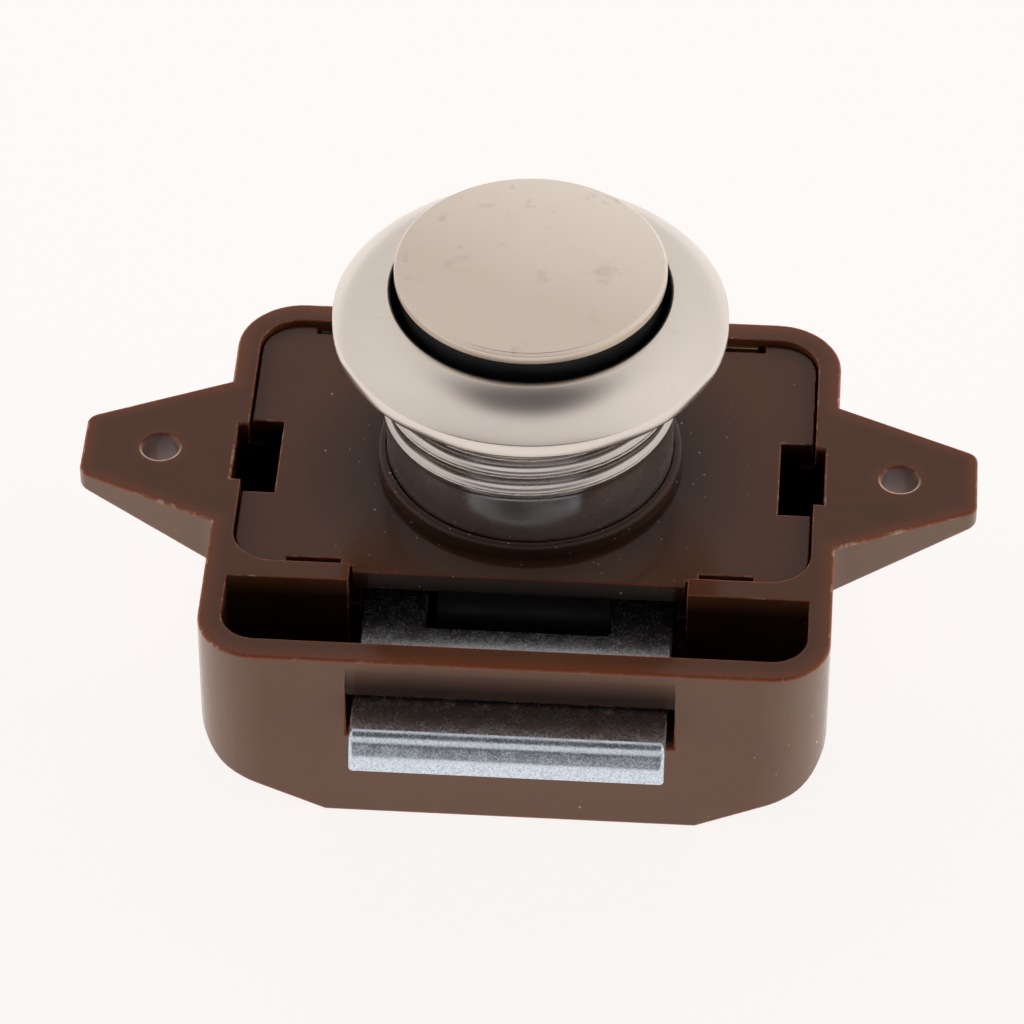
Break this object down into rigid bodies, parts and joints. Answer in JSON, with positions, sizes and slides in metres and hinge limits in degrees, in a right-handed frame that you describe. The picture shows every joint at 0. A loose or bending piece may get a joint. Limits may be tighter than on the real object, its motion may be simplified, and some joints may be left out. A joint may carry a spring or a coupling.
{
  "type": "push button cabinet lock",
  "caption": "Push button cabinet lock: moulded case with screw ears, snap-in cover, sliding bolt, and a push knob in a domed threaded rosette.",
  "frame": {"origin": "midway between the two fixing holes, on the mounting face that lies against the back of the door", "axes": "+Z out through the door towards the knob, +X along the line of the fixing holes, the bolt points along -Y"},
  "size_m": [0.075, 0.0485, 0.038],
  "materials": {
    "brown_plastic": "moulded, glossy",
    "satin_nickel": "satin nickel plating",
    "black_plastic": "moulded, satin",
    "zinc_steel": "zinc plating, grainy",
    "spring_steel": "drawn wire",
    "leaf_brass": "rolled strip"
  },
  "bodies": {
    "case": {"housing": "brown_plastic", "cover_plate": "brown_plastic", "plunger_spring": "spring_steel", "bolt_spring_left": "spring_steel", "bolt_spring_right": "spring_steel", "follower_leaf_spring": "leaf_brass"},
    "knob": {"knob_cap": "satin_nickel", "knob_stem": "black_plastic", "knob_screw": "zinc_steel", "plunger": "black_plastic"},
    "bolt": {"latch_bolt": "zinc_steel"},
    "rosette": {"rosette": "satin_nickel"},
    "follower": {"cam_follower": "spring_steel"}
  },
  "joints": [
    {"name": "knob_slide", "type": "slide", "parent": "case", "child": "knob", "axis": [0, 0, 1], "range_m": [-0.0008, 0.008], "deforming": ["plunger_spring"]},
    {"name": "bolt_slide", "type": "slide", "parent": "case", "child": "bolt", "axis": [0, 1, 0], "range_m": [-0.0005, 0.0041], "deforming": ["bolt_spring_left", "bolt_spring_right"]},
    {"name": "follower_swing", "type": "hinge", "parent": "case", "child": "follower", "pos_m": [0.017, 0.0016, -0.0034], "axis": [0, 0, 1], "range_deg": [-11.2, 1.3]},
    {"name": "rosette_lift", "type": "slide", "parent": "case", "child": "rosette", "axis": [0, 0, 1], "range_m": [0, 0.03]}
  ],
  "couplings": [
    {"joint": "bolt_slide", "follows": "knob_slide", "ratio": 0.5},
    {"joint": "follower_swing", "follows": "knob_slide", "rad_per_m": -23.809}
  ]
}
